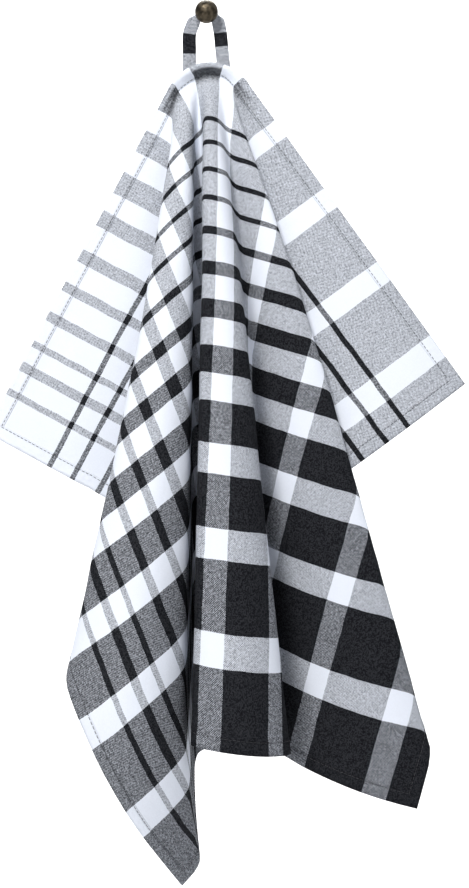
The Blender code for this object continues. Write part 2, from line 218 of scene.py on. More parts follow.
def tint(name, description, default):
    return FloatVectorProperty(
        name=name, description=description, default=default,
        subtype="COLOR", size=3, min=0.0, max=1.0,
    )


class TowelSettings(bpy.types.PropertyGroup):
    width: metres("Width", "Length of the top edge of the flat towel", 0.650)
    height: metres("Height", "Top edge to bottom edge of the flat towel", 0.518)
    cloth_thickness: metres("Cloth thickness", "Thickness of one layer of cloth", 0.0010)
    hem_width: metres("Hem width", "Width of the folded hem round the towel", 0.0106)
    hem_thickness: metres("Hem thickness", "Thickness of the cloth where it is hemmed", 0.0018)
    crumple: metres("Crumple", "Height of the small unevenness of the cloth", 0.0007)
    thread_pitch: metres("Thread pitch", "Distance from one thread to the next", 0.00078)
    white: tint("White yarn", "Colour of the bleached cotton yarn", (0.79, 0.828, 0.91))
    black: tint("Black yarn", "Colour of the dyed cotton yarn", (0.0055, 0.0060, 0.0082))


class StitchSettings(bpy.types.PropertyGroup):
    inset: metres("Inset", "Distance of the hem stitches from the towel's edge", 0.0093)
    length: metres("Stitch length", "Length of one stitch that shows", 0.0024)
    pitch: metres("Stitch pitch", "Distance from one stitch to the next", 0.0034)
    thread: metres("Thread width", "Width of the sewing thread", 0.00042)
    colour: tint("Sewing thread", "Colour of the sewing thread", (0.045, 0.045, 0.052))


class LoopSettings(bpy.types.PropertyGroup):
    tape_width: metres("Tape width", "Width of the loop's folded tape", 0.0103)
    tape_thickness: metres("Tape thickness", "Thickness of the loop's folded tape", 0.0014)
    steps: IntProperty(
        name="Steps", description="Cross-sections along the tape", default=220, min=20,
    )


class PegSettings(bpy.types.PropertyGroup):
    shank_radius: metres("Shank radius", "Radius of the peg's shank", 0.0035)
    shank_length: metres("Shank length", "Length of the shank from the wall to the head", 0.0135)
    head_radius: metres("Head radius", "Radius of the peg's round head", 0.0088)
    head_depth: metres("Head depth", "Depth of the head, from the shank to its front", 0.0100)
    rim: metres("Rim", "Height of the straight rim round the head", 0.0015)
    metal: tint("Metal", "Colour of the peg's aged metal", (0.105, 0.086, 0.060))


class StageSettings(bpy.types.PropertyGroup):
    camera_x: metres("Camera across", "Camera's place to the right of the peg", 0.0212)
    camera_z: metres("Camera height", "Camera's height above the peg", -0.3273)
    camera_distance: metres("Camera distance", "From the camera to the towel's wings", 1.15)
    framed_height: metres("Framed height", "Height that the picture takes in at the wings", 0.6728)
    floor_drop: metres("Floor drop", "Floor's place below the peg", 1.5)
    backdrop_gap: metres("Backdrop gap", "Backdrop's place behind the peg", 3.6)
    pale: tint("Stage colour", "Colour of the floor and the backdrop", (0.93, 0.93, 0.93))


# ---- shader nodes ----


class Wire:
    """An output socket that adds Math nodes when it is used in an expression."""

    def __init__(self, shader, socket):
        self.shader = shader
        self.socket = socket

    def math(self, operation, *values):
        return self.shader.node("ShaderNodeMath", {"operation": operation}, *values)

    def __add__(self, other):
        return self.math("ADD", self, other)

    __radd__ = __add__

    def __sub__(self, other):
        return self.math("SUBTRACT", self, other)

    def __rsub__(self, other):
        return self.math("SUBTRACT", other, self)

    def __mul__(self, other):
        return self.math("MULTIPLY", self, other)

    __rmul__ = __mul__

    def __truediv__(self, other):
        return self.math("DIVIDE", self, other)

    def __lt__(self, other):
        return self.math("LESS_THAN", self, other)

    def floor(self):
        return self.math("FLOOR", self)

    def fraction(self):
        return self.math("FRACT", self)

    def size(self):
        return self.math("ABSOLUTE", self)

    def least(self, other):
        return self.math("MINIMUM", self, other)

    def sine(self):
        return self.math("SINE", self)


class Shader:
    """A material whose nodes are written as expressions."""

    def __init__(self, name, colour, roughness, metallic=0.0):
        self.material = bpy.data.materials.new(name)
        self.material.use_nodes = True
        self.material.diffuse_color = (*colour, 1.0)
        self.tree = self.material.node_tree
        self.surface = self.tree.nodes["Principled BSDF"]
        self.put("Base Color", (*colour, 1.0))
        self.put("Roughness", roughness)
        self.put("Metallic", metallic)

    def put(self, name, value):
        """Give an input of the surface its value or wire."""
        self.feed(self.surface, name, value)

    def node(self, kind, settings, *values, output=0, **named):
        """Add a node: its settings, then the values or wires of its inputs, by place or name."""
        node = self.tree.nodes.new(kind)
        for key, value in settings.items():
            if key == "stops":
                self.set_stops(node.color_ramp, value)
            else:
                setattr(node, key, value)
        pairs = list(enumerate(values))
        pairs.extend((key.replace("_", " "), value) for key, value in named.items())
        for key, value in pairs:
            self.feed(node, key, value)
        return Wire(self, node.outputs[output])

    def feed(self, node, key, value):
        if isinstance(value, Wire):
            self.tree.links.new(value.socket, node.inputs[key])
        else:
            node.inputs[key].default_value = value

    @staticmethod
    def set_stops(ramp, stops):
        ramp.interpolation = "CONSTANT"
        ramp.elements[0].position = stops[0][0]
        ramp.elements[0].color = (stops[0][1],) * 3 + (1.0,)
        ramp.elements.remove(ramp.elements[1])
        for position, value in stops[1:]:
            ramp.elements.new(position).color = (value,) * 3 + (1.0,)

    def ranged(self, value, low, high, to_low=0.0, to_high=1.0):
        """A smooth change from to_low to to_high as value goes from low to high."""
        return self.node(
            "ShaderNodeMapRange", {"interpolation_type": "SMOOTHSTEP"},
            value, low, high, to_low, to_high,
        )

    def mixed(self, factor, first, second):
        mix = self.node("ShaderNodeMix", {"data_type": "RGBA"}, factor, output=2)
        self.feed(mix.socket.node, 6, first)
        self.feed(mix.socket.node, 7, second)
        return mix

    def bands(self, stops, place):
        return self.node("ShaderNodeValToRGB", {"stops": stops}, place)

    def noise(self, place, scale, detail):
        return self.node("ShaderNodeTexNoise", {}, Vector=place, Scale=scale, Detail=detail)

    def joined(self, x, y, z=0.0):
        return self.node("ShaderNodeCombineXYZ", {}, x, y, z)

    def bumped(self, height, distance, strength, normal=None):
        bump = self.node("ShaderNodeBump", {}, Strength=strength, Distance=distance, Height=height)
        if normal is not None:
            self.feed(bump.socket.node, "Normal", normal)
        return bump


def shade_of(colour, times=1.0):
    """A colour made darker or brighter, with its alpha."""
    return tuple(min(1.0, times * part) for part in colour) + (1.0,)


def cloth_place(shader):
    """The flat place (across, down) of the cloth, in metres."""
    uv = shader.node("ShaderNodeUVMap", {"uv_map": "cloth"})
    across = shader.node("ShaderNodeSeparateXYZ", {}, uv, output=0)
    down = Wire(shader, across.socket.node.outputs[1])
    return across, down


def band_stops(bands, whole):
    """Ramp stops for woven bands: 0 on white, 1 on dark."""
    stops = [(0.0, 0.0)]
    place = 0.0
    for index, band in enumerate(bands):
        place += band.white * 0.001
        stops.append((place / whole, 1.0))
        place += band.dark * 0.001
        if index < len(bands) - 1:
            stops.append((place / whole, 0.0))
    return stops


def woven(shader, across, down, share, towel):
    """Colour and height of woven threads, where share is how much of the yarn is dark."""
    warp = across / towel.thread_pitch
    weft = down / towel.thread_pitch
    warp_thread, weft_thread = warp.floor(), weft.floor()
    # 1 where the two threads' numbers add up to an even one, as in plain weave
    over = ((warp_thread + weft_thread) / 2.0).fraction() < 0.25
    cell = shader.joined(warp_thread, weft_thread)
    grain = shader.node("ShaderNodeTexWhiteNoise", {"noise_dimensions": "2D"}, cell)
    slub = shader.node(
        "ShaderNodeTexNoise", {"noise_dimensions": "2D"},
        Vector=shader.joined(across, down), Scale=620.0, Detail=1.0,
    )
    mottled = (over - 0.5) * CROSSING_SPECKLE
    mottled = mottled + (grain - 0.5) * GRAIN_SPECKLE + (slub - 0.5) * SLUB_SPECKLE
    shows = shader.ranged(share, *SPECKLE_STARTS) * shader.ranged(share, *SPECKLE_ENDS, 1.0, 0.0)
    dark = shader.node("ShaderNodeClamp", {}, share + shows * mottled, 0.0, 1.0)
    fuzz = shader.ranged(grain, 0.0, 1.0, 0.0, YARN_FUZZ)
    dark = shader.node("ShaderNodeClamp", {}, dark * (1.0 - YARN_FUZZ) + fuzz, 0.0, 1.0)
    warp_round = (warp * math.pi).sine().size()
    weft_round = (weft * math.pi).sine().size()
    height = over * warp_round + (1.0 - over) * weft_round + grain * THREAD_GRAIN
    return shader.mixed(dark, shade_of(towel.white), shade_of(towel.black)), height


def cotton(name, colour, roughness):
    shader = Shader(name, colour, roughness)
    shader.put("Specular IOR Level", COTTON_SHINE)
    return shader


def finish_cotton(shader, yarn, thread_strength, folds, dents):
    """Join up a cotton material: woven colour and threads, the folds under them, roughness."""
    colour, threads = yarn
    shader.put("Base Color", colour)
    shader.put("Normal", shader.bumped(threads, THREAD_RELIEF, thread_strength, folds))
    shader.put("Roughness", shader.ranged(dents, 0.2, 0.8, 0.82, 0.96))
    return shader.material


def hood_shade(shader, across, down, towel):
    """1 where shade is painted under the middle of the top hem, and 0 on the rest of the cloth."""
    from_middle = (across - 0.5 * towel.width).size()
    # painted shade: a mask of the recess under the tipped-back hem, darkest near the middle
    painted_shade = shader.ranged(from_middle, *HOOD_SIDES, 1.0, 0.0)
    painted_shade = painted_shade * shader.ranged(down, *HOOD_SHADE_ENDS, 1.0, 0.0)
    return painted_shade * shader.ranged(down, *HOOD_SHADE_STARTS)


def make_towel_material(towel, stitches):
    shader = cotton("cotton_check", (0.42, 0.42, 0.43), 0.88)
    across, down = cloth_place(shader)
    place = shader.joined(across, down)
    drift = shader.noise(place, scale=55.0, detail=1.0)
    cross_drift = shader.noise(shader.joined(across, down, 0.37), scale=55.0, detail=1.0)
    fray = (shader.noise(place, scale=1400.0, detail=0.0) - 0.5) * FRAY
    column_place = across + (drift - 0.5) * COLUMN_WANDER + fray
    row_place = down + (cross_drift - 0.5) * ROW_WANDER + fray
    columns = shader.bands(band_stops(COLUMN_BANDS, towel.width), column_place / towel.width)
    rows = shader.bands(band_stops(ROW_BANDS, towel.height), row_place / towel.height)
    share = columns * COLUMN_SHARE + rows * ROW_SHARE
    share = share - columns * rows * (COLUMN_SHARE + ROW_SHARE - 1.0)
    # painted shade: the dark columns are drawn darker in the recess under the middle of the top hem
    painted_shade = hood_shade(shader, across, down, towel)
    share = share + painted_shade * columns * (1.0 - share) * HOOD_SHADE
    edge = across.least(towel.width - across).least(down.least(towel.height - down))
    in_hem = shader.ranged(edge, towel.hem_width - 0.0005, towel.hem_width + 0.0003, 1.0, 0.0)
    groove = shader.ranged((edge - stitches.inset).size(), 0.0, SEAM_HALF_WIDTH, 1.0, 0.0)
    pucker = shader.noise(place, scale=190.0, detail=2.0)
    creases = shader.noise(place, scale=34.0, detail=4.0)
    relief = in_hem - groove * SEAM_GROOVE + pucker * (CLOTH_PUCKER + in_hem * HEM_PUCKER)
    folds = shader.bumped(relief + creases * CREASES, CLOTH_RELIEF, strength=0.7)
    yarn = woven(shader, across, down, share, towel)
    return finish_cotton(shader, yarn, 0.42, folds, pucker)


def make_tape_material(towel, dark_lengths, whole):
    """Cotton tape; dark_lengths are the ends of each dark band, along the tape."""
    shader = cotton("cotton_tape", (0.34, 0.34, 0.35), 0.9)
    across, along_tape = cloth_place(shader)
    place = shader.joined(across, along_tape)
    fray = (shader.noise(place, scale=1400.0, detail=0.0) - 0.5) * FRAY
    stops = [(0.0, 0.0)]
    for start, end in dark_lengths:
        stops.extend([(start / whole, 1.0), (end / whole, 0.0)])
    share = shader.bands(stops, (along_tape + fray) / whole) * (1.0 - TAPE_SHARE) + TAPE_SHARE
    dents = shader.noise(place, scale=160.0, detail=2.0)
    folds = shader.bumped(dents, distance=0.0006, strength=0.6)
    yarn = woven(shader, across, along_tape, share, towel)
    return finish_cotton(shader, yarn, 0.55, folds, dents)


def make_thread_material(stitches):
    shader = Shader("sewing_thread", stitches.colour, 0.7)
    place = shader.node("ShaderNodeTexCoord", {}, output="Object")
    twist = shader.noise(place, scale=900.0, detail=2.0)
    light, deep = shade_of(stitches.colour), shade_of(stitches.colour, 0.45)
    shader.put("Base Color", shader.mixed(shader.ranged(twist, 0.35, 0.7), light, deep))
    shader.put("Normal", shader.bumped(twist, distance=0.0002, strength=0.5))
    return shader.material


def make_peg_material(peg):
    """Aged bronze: dark and brown, worn brighter on its high spots, lightly hammered."""
    shader = Shader("peg_metal", peg.metal, 0.42, 1.0)
    place = shader.node("ShaderNodeTexCoord", {}, output="Object")
    patches = shader.noise(place, scale=260.0, detail=5.0)
    dents = shader.node("ShaderNodeTexVoronoi", {"feature": "SMOOTH_F1"}, Vector=place, Scale=330.0)
    pits = shader.noise(place, scale=1500.0, detail=3.0)
    worn, deep = shade_of(peg.metal, 2.4), shade_of(peg.metal, 0.45)
    aged = shader.mixed(shader.ranged(patches, 0.38, 0.66), deep, shade_of(peg.metal))
    shader.put("Base Color", shader.mixed(shader.ranged(dents, 0.45, 0.75) * 0.55, aged, worn))
    shader.put("Roughness", shader.ranged(patches, 0.3, 0.75, 0.34, 0.62))
    hammered = shader.bumped(dents, distance=0.0008, strength=0.55)
    shader.put("Normal", shader.bumped(pits, 0.0001, 0.4, hammered))
    return shader.material


def make_stage_material(colour):
    shader = Shader("stage_paper", colour, 0.95)
    tone = shader.node("ShaderNodeTexNoise", {}, Scale=3.0, Detail=2.0)
    shader.put("Base Color", shader.mixed(tone, shade_of(colour), shade_of(colour, 0.985)))
    return shader.material


# ---- how the cloth hangs ----


def along(points, distance):
    """Interpolate a row of 3-D points; distance is their place along the row."""
    return lambda where: np.stack(
        [np.interp(where, distance, points[:, axis]) for axis in range(3)], axis=-1
    )


def route_lengths(route):
    """Distance of each point of a route from its start."""
    steps = np.linalg.norm(np.diff(route, axis=0), axis=1)
    return np.concatenate([[0.0], np.cumsum(steps)])


def unit(vectors):
    return vectors / np.maximum(np.linalg.norm(vectors, axis=-1, keepdims=True), 1e-12)


def eased(share):
    """A share kept from 0 to 1, with a soft start and end."""
    share = np.clip(share, 0.0, 1.0)
    return share * share * (3.0 - 2.0 * share)


def top_edge(place):
    """Point of the towel's top edge at a distance from its left corner."""
    place = np.asarray(place, dtype=float)
    heading = math.radians(90.0 + LEFT_EDGE_BEARING)
    turn = math.radians(180.0 + LEFT_EDGE_BEARING - RIGHT_EDGE_BEARING)
    arch_end = ARCH_START + ARCH_RADIUS * turn
    bend = np.clip(place - ARCH_START, 0.0, ARCH_RADIUS * turn) / ARCH_RADIUS
    before = np.minimum(place - ARCH_START, 0.0)
    after = np.maximum(place - arch_end, 0.0)
    x = ARCH_START_X + ARCH_RADIUS * (math.sin(heading) - np.sin(heading - bend))
    z = ARCH_START_Z - ARCH_RADIUS * (math.cos(heading) - np.cos(heading - bend))
    x = x + before * math.cos(heading) + after * math.cos(heading - turn)
    z = z + before * math.sin(heading) + after * math.sin(heading - turn)
    return np.stack([x, np.full_like(x, -HANG_DEPTH), z], axis=-1)


def cloth_line(fold, distances):
    """Flat place (across, down) of points on a fold line."""
    angle = math.radians(fold.angle)
    across = fold.foot + math.sin(angle) * distances
    down = math.cos(angle) * distances
    return np.stack([across, down], axis=-1)


def hanging_line(fold, distances):
    """Hanging place of points on a fold, found by following its direction from its foot."""
    fine = np.linspace(0.0, distances[-1], LINE_SAMPLES)
    settled = np.minimum(fine / BEARING_SETTLES, 1.0)
    bearing = fold.top_bearing + (fold.low_bearing - fold.top_bearing) * settled
    fade = np.exp(-np.maximum(fine - HEM_LINE, 0.0) / LEAN_SETTLES)
    lean = fold.low_lean + (fold.top_lean - fold.low_lean) * fade
    if fold.name in TURNED_FOLDS:
        turned = np.clip((fine - END_TURN_STARTS) / END_TURN_LENGTH, 0.0, 1.0)
        bearing = bearing + END_TURN * turned
        lean = lean - END_TIPS_BACK * turned
    facing = math.cos(math.radians(fold.angle)) ** 2
    # the edge itself tips out, and the rest of the hem tips back
    rolled = np.clip(1.5 - fine / EDGE_ROLL, 0.0, 1.0)
    hem_lean = (EDGE_TIPS_OUT * rolled - HEM_TIPS_BACK * (1.0 - rolled)) * facing
    in_hem = np.clip((HOOD_ENDS - fine) / HOOD_TURN, 0.0, 1.0)
    lean = lean * (1.0 - in_hem) + hem_lean * in_hem
    bearing = np.radians(bearing)
    lean = np.radians(lean)
    direction = np.stack(
        [np.sin(bearing) * np.cos(lean), -np.sin(lean), -np.cos(bearing) * np.cos(lean)],
        axis=-1,
    )
    steps = 0.5 * (direction[1:] + direction[:-1]) * np.diff(fine)[:, None] * fold.reach
    route = np.vstack([np.zeros(3), np.cumsum(steps, axis=0)])
    return top_edge(fold.foot) + along(route, fine)(distances)


def bowed_panels(flat, hung):
    """Sections across all the folds; where cloth is wider than its gap, a front panel bows."""
    panels = []
    for index in range(len(FOLDS) - 1):
        last = index == len(FOLDS) - 2
        share = np.linspace(0.0, 1.0, ROUND_SAMPLES + 1)[: None if last else -1]
        span = hung[index + 1] - hung[index]
        panel = hung[index][:, None] + span[:, None] * share[None, :, None]
        if FOLDS[index].name in BOWED:
            gap = np.maximum(np.linalg.norm(span, axis=-1), 1e-9)
            width = np.linalg.norm(flat[index + 1] - flat[index], axis=-1)
            across = span / gap[:, None]
            forward = np.array([0.0, -1.0, 0.0])
            outward = unit(forward - across * (across @ forward)[:, None])
            # a flat parabola of this height is as long as the cloth
            bow = gap * np.sqrt(np.maximum(width / gap - 1.0, 0.0) * 3.0 / 8.0)
            bow = np.minimum(bow, DEEPEST_BOW * gap)
            bow = bow[:, None] * 4.0 * share * (1.0 - share)
            panel = panel + outward[:, None] * bow[..., None]
        panels.append(panel)
    return np.concatenate(panels, axis=1)


def rounded(section):
    """One section with its corners rounded, and both its ends kept."""
    place = route_lengths(section)
    even = np.linspace(0.0, place[-1], SECTION_SAMPLES)
    points = along(section, place)(even)
    spread = FOLD_ROUNDING / (place[-1] / (SECTION_SAMPLES - 1))
    spread = min(spread, WIDEST_ROUNDING * SECTION_SAMPLES)
    half = int(3.0 * spread) + 1
    weights = np.exp(-(np.arange(-half, half + 1) ** 2) / (2.0 * spread**2))
    weights /= weights.sum()
    before = 2.0 * points[0] - points[1 : half + 1][::-1]
    after = 2.0 * points[-1] - points[-half - 1 : -1][::-1]
    padded = np.vstack([before, points, after])
    smooth = np.stack([np.convolve(padded[:, axis], weights, "valid") for axis in range(3)], -1)
    return along(smooth, even)(place)


class Drape:
    """The hanging cloth: turns a flat place on the towel into its place in the room."""

    def __init__(self):
        near = np.arange(0.0, TOP_BAND, 0.4 * SECTION_STEP)
        far = np.arange(TOP_BAND, LONGEST_RULING, SECTION_STEP)
        self.distances = np.concatenate([near, far])
        flat = [cloth_line(fold, self.distances) for fold in FOLDS]
        hung = [hanging_line(fold, self.distances) for fold in FOLDS]
        sections = bowed_panels(flat, hung)
        self.sections = np.stack([rounded(section) for section in sections])

    @staticmethod
    def locate(across, down):
        """Fold number (with its fraction) and distance from the top edge of flat places."""
        best = np.full(across.shape, np.inf)
        number = np.zeros(across.shape)
        distance = np.zeros(across.shape)
        for index in range(len(FOLDS) - 1):
            first, second = FOLDS[index], FOLDS[index + 1]
            turn_1, turn_2 = math.radians(first.angle), math.radians(second.angle)
            sin_1, cos_1 = math.sin(turn_1), math.cos(turn_1)
            sin_2, cos_2 = math.sin(turn_2), math.cos(turn_2)
            spread = second.foot - first.foot
            reach = np.hypot(across - 0.5 * (first.foot + second.foot), down)
            share = np.full(across.shape, 0.5)
            for _ in range(SOLVER_STEPS):
                # how far off the place is, and how that changes with reach and share
                miss_x = first.foot + reach * sin_1 - across
                miss_x = miss_x + share * (spread + reach * (sin_2 - sin_1))
                miss_y = reach * cos_1 + share * reach * (cos_2 - cos_1) - down
                x_by_reach = sin_1 + share * (sin_2 - sin_1)
                x_by_share = spread + reach * (sin_2 - sin_1)
                y_by_reach = cos_1 + share * (cos_2 - cos_1)
                y_by_share = reach * (cos_2 - cos_1)
                whole = x_by_reach * y_by_share - x_by_share * y_by_reach
                whole = np.where(np.abs(whole) < 1e-12, 1e-12, whole)
                reach = reach - (miss_x * y_by_share - miss_y * x_by_share) / whole
                share = share - (x_by_reach * miss_y - y_by_reach * miss_x) / whole
            outside = np.maximum(-share, share - 1.0)
            outside = np.where((reach < -1e-9) | ~np.isfinite(outside), np.inf, outside)
            better = outside < best - 1e-9
            best = np.where(better, outside, best)
            number = np.where(better, index + np.clip(share, 0.0, 1.0), number)
            distance = np.where(better, reach, distance)
        return number, np.maximum(distance, 0.0)

    def place(self, number, distance):
        """Place in the room, between the nearest four points of the sections."""
        column = np.clip(number * ROUND_SAMPLES, 0.0, self.sections.shape[1] - 1.000001)
        row = np.interp(distance, self.distances, np.arange(len(self.distances)))
        row = np.minimum(row, len(self.distances) - 1.000001)
        column_low, row_low = column.astype(int), row.astype(int)
        column_part = (column - column_low)[..., None]
        row_part = (row - row_low)[..., None]
        upper, lower = (
            self.sections[line, column_low] * (1.0 - column_part)
            + self.sections[line, column_low + 1] * column_part
            for line in (row_low, row_low + 1)
        )
        return upper * (1.0 - row_part) + lower * row_part


# ---- meshes ----


def add_piece(name, points, faces, material):
    mesh = bpy.data.meshes.new(name)
    mesh.from_pydata([tuple(point) for point in points], [], faces)
    mesh.materials.append(material)
    mesh.shade_smooth()
    piece = bpy.data.objects.new(name, mesh)
    bpy.context.scene.collection.objects.link(piece)
    return piece


def set_cloth_places(piece, places):
    """Give each corner of the mesh its flat place on the cloth, in metres."""
    layer = piece.data.uv_layers.new(name="cloth")
    corners = np.zeros(len(piece.data.loops), int)
    piece.data.loops.foreach_get("vertex_index", corners)
    layer.data.foreach_set("uv", np.asarray(places, float)[corners].ravel())


def closed_sheet_faces(rows, columns):
    """Faces of a front grid, a back grid and the rim between them."""
    count = rows * columns
    faces = []
    for row in range(rows - 1):
        for column in range(columns - 1):
            corner = row * columns + column
            quad = (corner, corner + columns, corner + columns + 1, corner + 1)
            faces.append(quad)
            faces.append(tuple(count + place for place in reversed(quad)))
    grid = np.arange(count).reshape(rows, columns)
    rim = np.concatenate([grid[0], grid[1:, -1], grid[-1, -2::-1], grid[-2:0:-1, 0]]).tolist()
    for here, there in zip(rim, rim[1:] + rim[:1]):
        faces.append((here, there, count + there, count + here))
    return faces


def sheet_thickness(across, down, towel):
    sideways = np.minimum(across, towel.width - across)
    edge = np.minimum(sideways, np.minimum(down, towel.height - down))
    blend = eased((edge - towel.hem_width) / HEM_STEP + 0.5)
    return towel.hem_thickness + (towel.cloth_thickness - towel.hem_thickness) * blend


def crumpling(across, down, towel):
    """Small unevenness of the cloth, in metres, from its flat place."""
    height = [
        sum(
            share * noise.noise(Vector((x * scale, y * scale, level)))
            for scale, share, level in CRUMPLES
        )
        for x, y in zip(across.ravel(), down.ravel())
    ]
    return towel.crumple * np.array(height).reshape(across.shape)


def cloth_surface(drape, across, down, towel):
    """Middle of the cloth at flat places, and its unit direction towards the back."""
    number, distance = drape.locate(across, down)
    step_number, step_distance = 0.03, 0.0008
    middle = drape.place(number, distance)
    right = drape.place(number + step_number, distance)
    right = right - drape.place(number - step_number, distance)
    lower = drape.place(number, distance + step_distance)
    lower = lower - drape.place(number, np.maximum(distance - step_distance, 0.0))
    back = unit(np.cross(right, lower))
    return middle + back * crumpling(across, down, towel)[..., None], back


def ruling_feet(angles):
    return np.interp(angles, [fold.angle for fold in FOLDS], [fold.foot for fold in FOLDS])


def corner_angle(corner_x, towel):
    angle = 0.0
    for _ in range(30):
        angle = math.degrees(math.atan2(corner_x - ruling_feet(angle), towel.height))
    return angle


def column_angles(towel):
    """Directions of the mesh columns, closer together beside each fold."""
    angles = []
    for first, second in zip(FOLDS[:-1], FOLDS[1:]):
        count = LEAST_COLUMNS + int(COLUMNS_PER_DEGREE * (second.angle - first.angle))
        crowded = 0.5 - 0.5 * np.cos(np.linspace(0.0, math.pi, count + 1)[:-1])
        even = np.linspace(0.0, 1.0, count + 1)[:-1]
        share = CROWDING * crowded + (1.0 - CROWDING) * even
        angles.extend(first.angle + (second.angle - first.angle) * share)
    angles.append(FOLDS[-1].angle)
    angles = np.array(angles)
    for corner_x in (0.0, towel.width):
        corner = corner_angle(corner_x, towel)
        angles[np.argmin(np.abs(angles - corner))] = corner
    return angles


def towel_grid(towel):
    """Flat places of the mesh points, in rows from the top edge and columns along the folds."""
    angles = column_angles(towel)
    feet = ruling_feet(angles)
    sines, cosines = np.sin(np.radians(angles)), np.cos(np.radians(angles))
    to_bottom = towel.height / np.maximum(cosines, 1e-6)
    to_side = np.where(sines < 0.0, feet, towel.width - feet) / np.maximum(np.abs(sines), 1e-6)
    lengths = np.minimum(to_bottom, to_side)
    top = np.linspace(0.0, TOP_BAND, TOP_BAND_ROWS + 1)
    lower = np.linspace(0.0, 1.0, LOWER_ROWS + 1)[1:]
    rows = [np.full_like(lengths, distance) for distance in top]
    rows.extend(TOP_BAND + part * (lengths - TOP_BAND) for part in lower)
    distance = np.stack(rows)
    return feet + sines * distance, cosines * distance


def stitch_runs(towel, stitches):
    """Start and end places of every stitch of the four hems."""
    inset = stitches.inset
    corners = (
        (inset, inset), (towel.width - inset, inset),
        (towel.width - inset, towel.height - inset), (inset, towel.height - inset),
    )
    starts, ends = [], []
    for start, end in zip(corners, corners[1:] + corners[:1]):
        start, end = np.array(start), np.array(end)
        whole = np.linalg.norm(end - start)
        heading = (end - start) / whole
        for place in np.arange(FIRST_STITCH, whole - stitches.length, stitches.pitch):
            starts.append(start + heading * place)
            ends.append(start + heading * (place + stitches.length))
    return np.array(starts), np.array(ends)


def stitch_mesh(drape, towel, stitches):
    """Points and faces of the stitches on both faces of the cloth."""
    starts, ends = stitch_runs(towel, stitches)
    parts = np.array([0.0, 0.25, 0.75, 1.0])
    rise = np.array([-STITCH_RISE, STITCH_RISE, STITCH_RISE, -STITCH_RISE])
    flat = starts[:, None] + (ends - starts)[:, None] * parts[None, :, None]
    middle, back = cloth_surface(drape, flat[..., 0], flat[..., 1], towel)
    half = 0.5 * sheet_thickness(flat[..., 0], flat[..., 1], towel)
    heading = unit(middle[:, -1:] - middle[:, :1])
    side = np.cross(np.broadcast_to(heading, back.shape), back)
    turns = np.radians([45.0, 135.0, 225.0, 315.0])[:, None]
    ring = side[..., None, :] * np.cos(turns) + back[..., None, :] * np.sin(turns)
    both = [middle + back * (facing * (half + rise))[..., None] for facing in (-1.0, 1.0)]
    points = [centre[..., None, :] + ring * 0.5 * stitches.thread for centre in both]
    points = np.concatenate(points).reshape(-1, 3)
    faces = []
    for first in range(0, len(points), 4 * len(parts)):
        for row in range(first, first + 4 * (len(parts) - 1), 4):
            for place in range(4):
                here, there = row + place, row + (place + 1) % 4
                faces.append((here, there, there + 4, here + 4))
        faces.append((first + 3, first + 2, first + 1, first))
        last = first + 4 * (len(parts) - 1)
        faces.append((last, last + 1, last + 2, last + 3))
    return points, faces


# ---- hanging loop ----


def behind_hem(drape, x, below_edge, tape):
    """Middle of the tape where it lies behind the hem, clear of the cloth over its width."""
    feet = np.linspace(ARCH_START, ARCH_START + 2.0 * ARCH_RADIUS, 240)
    number = np.interp(feet, [fold.foot for fold in FOLDS], np.arange(len(FOLDS)))
    depths = np.linspace(0.0, 2.0 * HEM_LINE, 81)
    hem = drape.place(*np.meshgrid(number, depths)).reshape(-1, 3)
    top = np.interp(x, hem[: len(feet), 0], hem[: len(feet), 2])
    z = top - below_edge
    near = np.abs(hem[:, 0] - x) < 0.5 * tape.tape_width + SEAT_GAP
    near &= np.abs(hem[:, 2] - z) < tape.tape_thickness
    seat = 0.5 * (HUNG_THICKNESS + tape.tape_thickness) + SEAT_GAP + HEM_SEAT_ALLOWANCE
    return np.array([x, hem[near, 1].max() + seat, z])


def leg_route(drape, top_x, foot_x, tape):
    """Points of one leg, from the side of the shank down to its end behind the hem."""
    side = math.copysign(1.0, top_x)
    start_x = side * BEND_HALF_WIDTH
    seat = [behind_hem(drape, foot_x, part * LEG_ENDS_BELOW_EDGE, tape) for part in (0.0, 0.5, 1.0)]
    _, edge_y, edge_z = seat[0]
    return np.array([
        (start_x, -LOOP_DEPTH, 0.0),
        (0.5 * (start_x + top_x), -LOOP_DEPTH, -LEG_TURNS_AT * LEG_STRAIGHT_BELOW),
        (top_x, -LOOP_DEPTH, -LEG_STRAIGHT_BELOW),
        (0.5 * (top_x + foot_x), 0.5 * (edge_y - LOOP_DEPTH), 0.5 * (edge_z - LEG_STRAIGHT_BELOW)),
        *seat,
    ])


def smooth_route(points, count):
    """Evenly spaced points on a smooth curve through the given ones."""
    points = np.asarray(points)
    padded = np.vstack([2.0 * points[0] - points[1], points, 2.0 * points[-1] - points[-2]])
    route = []
    for index in range(1, len(padded) - 2):
        p0, p1, p2, p3 = padded[index - 1 : index + 3]
        for part in np.linspace(0.0, 1.0, 16, endpoint=False):
            route.append(0.5 * (2.0 * p1 + (p2 - p0) * part
                                + (2.0 * p0 - 5.0 * p1 + 4.0 * p2 - p3) * part**2
                                + (3.0 * p1 - p0 - 3.0 * p2 + p3) * part**3))
    route = np.array([*route, points[-1]])
    place = route_lengths(route)
    return along(route, place)(np.linspace(0.0, place[-1], count))


def loop_route(drape, tape, peg):
    bend = peg.shank_radius + SEAT_GAP + BEND_ALLOWANCE + 0.5 * tape.tape_thickness
    left = leg_route(drape, LEFT_LEG_X, LEFT_LEG_X, tape)
    right = leg_route(drape, RIGHT_LEG_TOP_X, RIGHT_LEG_FOOT_X, tape)
    over = []
    for step in range(1, BEND_STEPS):
        turn = math.pi * step / BEND_STEPS
        over.append((-BEND_HALF_WIDTH * math.cos(turn), -LOOP_DEPTH, bend * math.sin(turn)))
    return smooth_route(np.vstack([left[::-1], np.array(over), right]), tape.steps)


